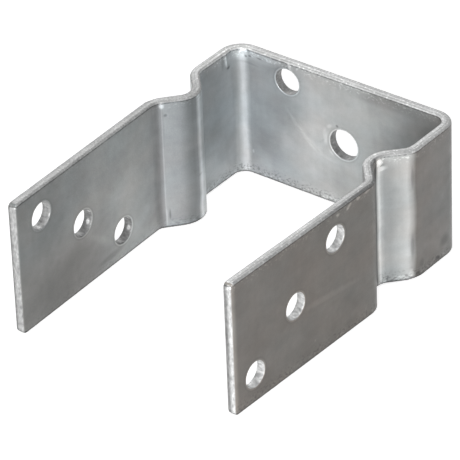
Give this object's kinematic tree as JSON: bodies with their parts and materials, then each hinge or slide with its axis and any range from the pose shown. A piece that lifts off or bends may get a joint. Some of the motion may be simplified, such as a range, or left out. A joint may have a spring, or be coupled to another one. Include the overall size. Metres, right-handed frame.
{
  "type": "fence post anchor",
  "caption": "Galvanised steel strap folded into a U: its web bolts to a foundation, its punched arms clasp a fence post, and a crimp in each arm carries the post's end.",
  "frame": {"origin": "middle of the anchor bolt's hole, on the outer face of the web", "axes": "+Y out of the web's outer face into the foundation, the arms reach along -Y, X along the web from the left arm to the right arm, +Z across the strip; as modelled it stands on the strip's long edges, as in the picture, and in use +Y points down"},
  "size_m": [0.111, 0.1498, 0.06],
  "materials": {
    "galvanised_steel": "hot-dip galvanised, dull grey with soft cloudy patches and bright worn folds"
  },
  "bodies": {
    "root": {"anchor_strap": "galvanised_steel"}
  },
  "joints": []
}
